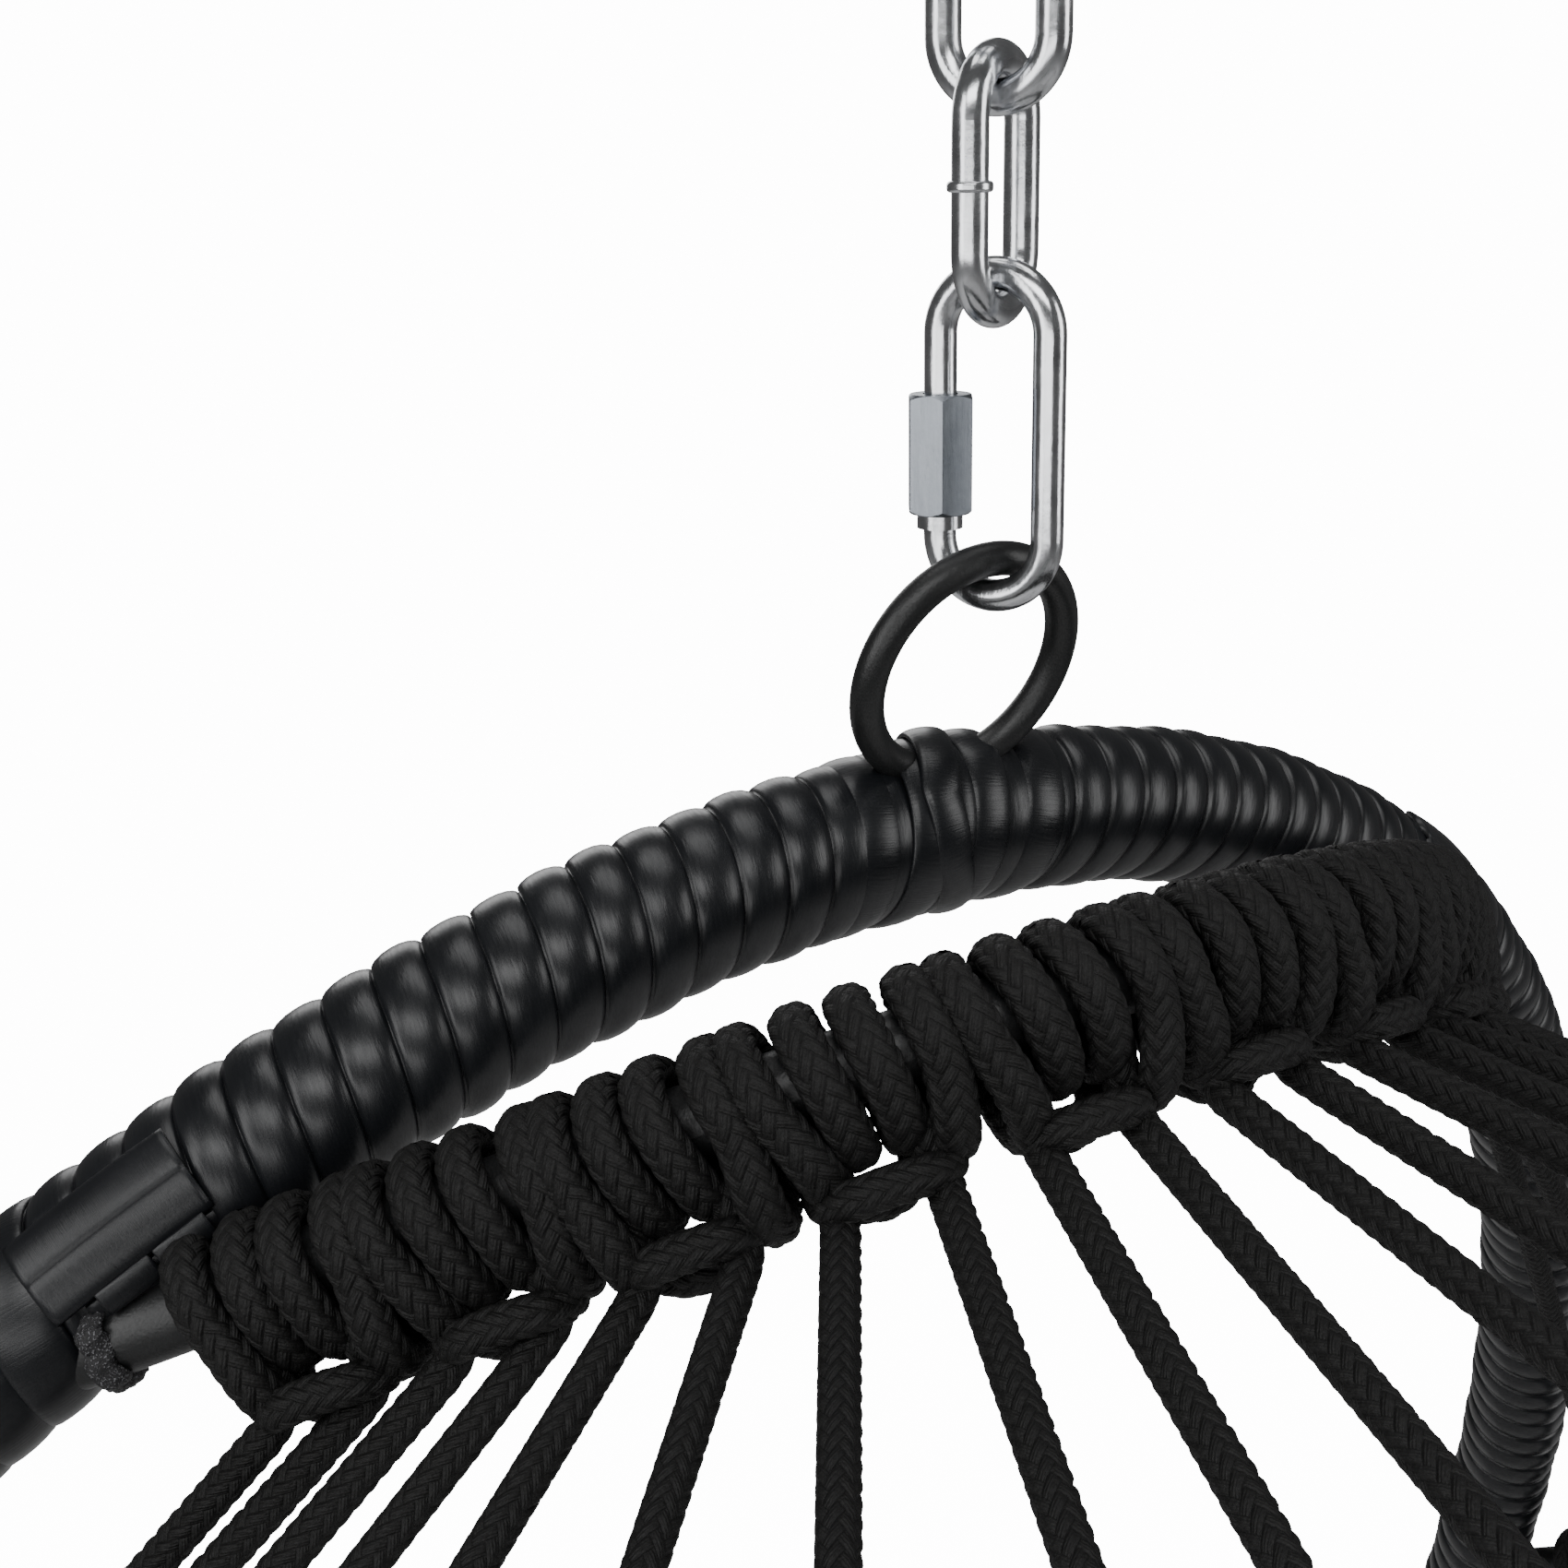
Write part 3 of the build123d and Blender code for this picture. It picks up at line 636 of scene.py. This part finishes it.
def build_joint_strips(name, side):
    """Four lengthwise strips, two tabs and two broad turns where the top bar goes in."""
    bm = empty_mesh()
    for first, last, turn, width, radius, thick in JOINT_LENGTHWISE:
        add_lengthwise(bm, side, first, last, radians(turn), width, radius, thick)
    for middle, width, radius in JOINT_BANDS:
        add_hoop_band(bm, side * middle, width, radius)
    piece = new_piece(f"joint_strips_{name}", bm, STRIP)
    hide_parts(f"joint_strip_{name}")


def build_joint_weld(name, side):
    """Rough weld bead round the top bar where it leaves the wrap."""
    middle = TOP_BAR.half_length() - WELD_FROM_END
    centre, tangent, outward = TOP_BAR.place(side * middle)
    across = np.cross(tangent, outward)
    ring = []
    for t in np.linspace(0, 2 * pi, 49):
        swell = WELD_RADIUS + 0.0006 * sin(5 * t) + 0.0004 * sin(11 * t + 1)
        ring.append(centre + swell * (outward * cos(t) + across * sin(t))
                    + tangent * 0.0006 * sin(7 * t))
    bm = empty_mesh()
    add_cord(bm, np.array(ring), 0.0008, 18, 0.0008, width=0.0062, thick=0.0026,
             first=outward, closed=True)
    new_piece(f"bar_weld_{name}", bm, WELD)


build_ring_strips()
for side_name, side_sign in (("left", -1), ("right", 1)):
    build_joint_strips(side_name, side_sign)
    build_joint_weld(side_name, side_sign)


# ---------------------------------------------------------------- knots on the top bar
def knot_axes(along):
    """Level rearward and downward directions square to the top bar."""
    _, tangent, _ = TOP_BAR.place(along)
    level = unit(np.cross([0, 0, 1.0], tangent))
    down = unit(np.cross(tangent, level))
    down = down if down[2] < 0 else -down
    return level, down


def bar_point(knot, shift, angle, radius):
    """A point round the bar: angle 0 is level rearward, negative angles go down."""
    centre, _, _ = TOP_BAR.place(knot + shift)
    level, down = knot_axes(knot + shift)
    return centre + radius * (level * cos(angle) - down * sin(angle))


PULL = radians(-76)  # where the tails pull the turns off the bar
OUTER_TURN, MIDDLE_TURN = 0.0170, 0.0051  # from the knot's middle
OUTER_PULL, MIDDLE_PULL = 0.0115, 0.0045
OUTER_GATHER = 0.0035  # the outer turns' lowest points draw in under the strand
TURN_LEAN = 0.0022
KNOT_STEP = 0.0008  # between rows of vertices along a knot's cord
KNOT_AROUND = 30
KNOT_TURNS = ((-OUTER_TURN, OUTER_PULL, OUTER_GATHER), (-MIDDLE_TURN, MIDDLE_PULL, 0.0),
              (MIDDLE_TURN, MIDDLE_PULL, 0.0), (OUTER_TURN, OUTER_PULL, OUTER_GATHER))
# shift along the bar, angle round it in degrees, distance from its middle
BIGHT = ((-0.0100, -140, 0.0135), (-0.0140, -108, 0.0180), (-0.0135, -66, 0.0245),
         (-0.0075, -50, 0.0252), (0.0, -48, 0.0250), (0.0075, -50, 0.0252),
         (0.0135, -66, 0.0245), (0.0140, -108, 0.0180), (0.0100, -140, 0.0135))
SECOND_STRAND = ((-0.0120, -118, 0.0165), (-0.0095, -84, 0.0262), (0.0, -76, 0.0288),
                 (0.0095, -84, 0.0262), (0.0120, -118, 0.0165))
SECOND_SHIFT = 0.0015


def knot_turn(knot, shift, pull, gather, seed):
    """One turn round the bar, drawn out towards the tails."""
    route = []
    for t in np.linspace(0, 2 * pi, 73):
        angle = PULL + pi + t
        low = max(0.0, cos(angle - PULL))
        lean = TURN_LEAN * (sin(angle) + 0.25 * sin(seed * 1.7)) + 0.0006 * cos(angle + seed)
        drift = lean - np.sign(shift) * gather * low ** 2
        route.append(bar_point(knot, shift + drift, angle, TURN_RADIUS + pull * low ** 3))
    return np.array(route)


def build_knot(number, knot):
    """Four turns of cord, the bight that holds them and the strand below it."""
    bm = empty_mesh()
    for order, (shift, pull, gather) in enumerate(KNOT_TURNS):
        seed = number * 4 + order
        uneven = 1 + 0.16 * sin(seed * 2.3)
        route = knot_turn(knot, shift, pull * uneven, gather, seed)
        start, _, _ = TOP_BAR.place(knot + shift)
        add_cord(bm, route, KNOT_STEP, KNOT_AROUND, BRAID_RELIEF, width=TURN_WIDTH,
                 thick=CORD * 0.92, first=route[0] - start, closed=True)
    sway = 0.0008 * sin(number * 1.9)
    bight = [bar_point(knot, shift, radians(angle), radius + sway)
             for shift, angle, radius in BIGHT]
    add_cord(bm, smooth_route(bight, 0.008), KNOT_STEP, KNOT_AROUND, BRAID_RELIEF,
             width=CORD * 1.04, thick=CORD * 0.98)
    strand = [bar_point(knot, shift + SECOND_SHIFT, radians(angle), radius - sway)
              for shift, angle, radius in SECOND_STRAND]
    add_cord(bm, smooth_route(strand, 0.009), 0.0009, 28, BRAID_RELIEF)
    piece = new_piece(f"knot_{number:02d}", bm, CORD_BRAID)
    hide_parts(f"top_knot_{number:02d}")


KNOT_LINE = [-place for place in reversed(KNOT_PLACES[1:])] + list(KNOT_PLACES)
for knot_number, knot_place in enumerate(KNOT_LINE, start=1):
    build_knot(knot_number, knot_place)


# ---------------------------------------------------------------- cords of the back
NEAR_TAIL = 0.33  # a tail's finer first length
RAIL_TURN = 0.0043  # from the middle of two turns to each of them
FAR_STEP, FAR_AROUND = 0.004, 14  # plainer mesh for the lower runs and the seat


def rail_crossing(arch, along, before, after):
    """Where a taut cord bends over its turns on a rail, on the outside of the bend."""
    centre, tangent, outward = arch.place(along)
    arriving = unit(centre - before)
    if after is None:
        outside = outward - arriving * np.dot(outward, arriving)
        ways = [arriving]
    else:
        leaving = unit(after - centre)
        outside = arriving - leaving
        ways = [arriving, leaving]
    outside = unit(outside - tangent * np.dot(outside, tangent))
    reach = CORD_OVER_TURNS
    for way in ways:
        flat = way - tangent * np.dot(way, tangent)
        sideways = flat - outside * np.dot(flat, outside)
        lengthened = np.linalg.norm(flat) / np.linalg.norm(sideways)
        reach = max(reach, CORD_OVER_TURNS * lengthened)
    return centre + outside * reach


def add_rail_turns(bm, arch, along):
    """Two turns of a cord round a rail."""
    for shift in (-RAIL_TURN, RAIL_TURN):
        centre, tangent, outward = arch.place(along + shift)
        side = np.cross(tangent, outward)
        ring = [centre + TURN_RADIUS * (outward * cos(t) + side * sin(t))
                for t in np.linspace(0, 2 * pi, 33)]
        add_cord(bm, np.array(ring), 0.0024, 14, 0.0, width=TURN_WIDTH * 0.95,
                 first=outward, closed=True)


def tail_route(side, order):
    """A tail from under its knot, over both rails, to the seat rail."""
    knot = side * KNOT_PLACES[(order + 1) // 2]
    tail_side = side * (1 if order % 2 == 0 else -1)
    start = bar_point(knot, tail_side * 0.0098, radians(-50), 0.0130)
    leave = bar_point(knot, tail_side * 0.0108, radians(-68), 0.0262)
    upper_place = side * UPPER_PLACES[order]
    lower_place = side * LOWER_PLACES[order]
    seat_place = side * SEAT_PLACES[order]
    upper = rail_crossing(UPPER_RAIL, upper_place, leave, LOWER_RAIL.place(lower_place)[0])
    lower = rail_crossing(LOWER_RAIL, lower_place, upper, SEAT_RAIL.place(seat_place)[0])
    seat = rail_crossing(SEAT_RAIL, seat_place, lower, None)
    rail = SEAT_RAIL.place(seat_place)[0]
    tuck = rail + unit(seat - rail) * 0.013
    return start, leave, upper, lower, seat, tuck


def build_back_cords():
    rails = {"upper": (UPPER_RAIL, UPPER_PLACES), "lower": (LOWER_RAIL, LOWER_PLACES),
             "seat": (SEAT_RAIL, SEAT_PLACES)}
    turns = {rail: empty_mesh() for rail in rails}
    names = {1: "left", -1: "right"}
    for side in (1, -1):
        near, rest = empty_mesh(), empty_mesh()
        for order in range(len(UPPER_PLACES)):
            start, leave, upper, lower, seat, tuck = tail_route(side, order)
            run = upper - leave
            split = leave + run * min(1.0, NEAR_TAIL / np.linalg.norm(run))
            add_cord(near, smooth_route([start, leave, split], 0.012), 0.0011, 26,
                     BRAID_RELIEF)
            add_cord(rest, smooth_route([split, upper, lower, seat, tuck], 0.016),
                     FAR_STEP, FAR_AROUND, 0.0)
            for rail, (arch, places) in rails.items():
                add_rail_turns(turns[rail], arch, side * places[order])
        tails = new_piece(f"cord_tails_{names[side]}", near, CORD_BRAID)
        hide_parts("upper_back_cords")
        back = new_piece(f"back_cords_{names[side]}", rest, CORD_BRAID)
        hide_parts("upper_back_cords", "middle_back_cords", "lower_back_cords")
    for rail, bm in turns.items():
        piece = new_piece(f"{rail}_rail_cord_turns", bm, CORD_BRAID)
        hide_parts(f"{rail}_rail_turns")


build_back_cords()


# ---------------------------------------------------------------- seat cords
SEAT_MARGIN_FRONT, SEAT_MARGIN_REAR, SEAT_SPACING = 0.042, 0.060, 0.038


def build_seat_cords():
    bm = empty_mesh()
    lift = unit(np.cross(SEAT_RAIL.rearward, ACROSS))
    lift = lift if lift[2] > 0 else -lift
    over = lift * CORD_OVER_TURNS
    room = SEAT_RAIL.depth - SEAT_MARGIN_FRONT - SEAT_MARGIN_REAR
    for row in range(int(room // SEAT_SPACING) + 1):
        back = SEAT_MARGIN_REAR + row * SEAT_SPACING
        half = SEAT_RAIL.radius
        if back < half:
            half = sqrt(half ** 2 - (half - back) ** 2)
        middle = SEAT_RAIL.middle - SEAT_RAIL.rearward * back
        route = [middle - ACROSS * (half + 0.012) + lift * 0.002,
                 middle - ACROSS * (half + 0.002) + over,
                 middle + ACROSS * (half + 0.002) + over,
                 middle + ACROSS * (half + 0.012) + lift * 0.002]
        add_cord(bm, smooth_route(route, 0.012), FAR_STEP, FAR_AROUND, 0.0)
    piece = new_piece("seat_cord_rows", bm, CORD_BRAID)
    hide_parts("seat_cords")


build_seat_cords()


# ---------------------------------------------------------------- finishes of the steel
def finish_node(name, material):
    """Give a CAD node its finish."""
    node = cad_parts[name]
    node.data.materials.clear()
    node.data.materials.append(material)


for link in range(1, 6):
    finish_node(f"chain_link_{link}", ZINC)
finish_node("quick_link_body", ZINC)
finish_node("quick_link_nut", NUT_ZINC)
for steel in ("hanging_ring", "ring_weld", "hoop_tube", "top_bar", "upper_rail", "lower_rail",
              "seat_rail", "seat_front_bar"):
    finish_node(steel, COAT)


# ---------------------------------------------------------------- stage, light and camera
BACKDROP_GLOW = 14.0
ROOM_GLOW = 0.10
FLOOR_Z = -1.62


def build_stage():
    bm = bmesh.new()
    bmesh.ops.create_grid(bm, x_segments=1, y_segments=1, size=30.0)
    bmesh.ops.translate(bm, verts=bm.verts, vec=(0, 0, FLOOR_Z))
    mesh = bpy.data.meshes.new("floor")
    bm.to_mesh(mesh)
    bm.free()
    floor_piece = bpy.data.objects.new("floor", mesh)
    bpy.context.scene.collection.objects.link(floor_piece)
    material, tree, shader = node_material("pale_floor")
    shader.inputs["Base Color"].default_value = (0.9, 0.9, 0.9, 1)
    shader.inputs["Roughness"].default_value = 0.9
    shader.inputs["Emission Color"].default_value = (1, 1, 1, 1)
    path = tree.nodes.new("ShaderNodeLightPath")
    seen = maths(tree, "MULTIPLY", path.outputs["Is Camera Ray"], BACKDROP_GLOW)
    tree.links.new(seen, shader.inputs["Emission Strength"])
    mesh.materials.append(material)


def area_light(name, place, target, size, power):
    data = bpy.data.lights.new(name, "AREA")
    data.shape = "RECTANGLE"
    data.size, data.size_y = size
    data.energy = power
    light = bpy.data.objects.new(name, data)
    light.location = place
    light.rotation_euler = (Vector(target) - Vector(place)).to_track_quat("-Z", "Y").to_euler()
    bpy.context.scene.collection.objects.link(light)


def build_world():
    world = bpy.data.worlds.new("studio")
    world.use_nodes = True
    tree = world.node_tree
    background = tree.nodes["Background"]
    background.inputs["Color"].default_value = (1, 1, 1, 1)
    path = tree.nodes.new("ShaderNodeLightPath")
    seen = maths(tree, "MULTIPLY", path.outputs["Is Camera Ray"], BACKDROP_GLOW)
    tree.links.new(maths(tree, "ADD", seen, ROOM_GLOW), background.inputs["Strength"])
    bpy.context.scene.world = world


CAMERA_FROM_CROWN = (0.32927, 0.41919, 0.15987)
CAMERA_YAW, CAMERA_PITCH, CAMERA_ROLL = radians(214.44), radians(-15.65), radians(-0.87)
CAMERA_LENS = 52.57


def build_camera():
    yaw, pitch, roll = CAMERA_YAW, CAMERA_PITCH, CAMERA_ROLL
    forward = Vector((sin(yaw) * cos(pitch), cos(yaw) * cos(pitch), sin(pitch)))
    level = Vector((cos(yaw), -sin(yaw), 0))
    up = level.cross(forward)
    right = level * cos(roll) + up * sin(roll)
    top = up * cos(roll) - level * sin(roll)
    data = bpy.data.cameras.new("camera")
    data.sensor_width = 36.0
    data.lens = CAMERA_LENS
    data.clip_start = 0.01
    camera = bpy.data.objects.new("camera", data)
    turn = Matrix((right, top, -forward)).transposed().to_4x4()
    camera.matrix_world = Matrix.Translation(Vector(CROWN) + Vector(CAMERA_FROM_CROWN)) @ turn
    bpy.context.scene.collection.objects.link(camera)
    bpy.context.scene.camera = camera


build_stage()
build_world()
LIGHT_TARGET = (0.05, 0.0, -0.40)
for light_name, light_place, light_size, light_power in (
        ("soft_high", (0.76, 0.95, 0.66), (1.3, 0.55), 11),
        ("soft_low", (1.15, 1.05, -0.38), (1.5, 0.36), 6),
        ("soft_left", (1.9, 0.1, 0.1), (0.9, 1.6), 17),
        ("soft_right", (-1.5, 1.5, 0.1), (0.9, 1.6), 17),
        ("soft_top", (-0.2, -0.2, 1.6), (1.6, 1.0), 14),
        ("soft_front", (-0.8, -2.2, 0.3), (1.6, 1.0), 14)):
    area_light(light_name, light_place, LIGHT_TARGET, light_size, light_power)
build_camera()
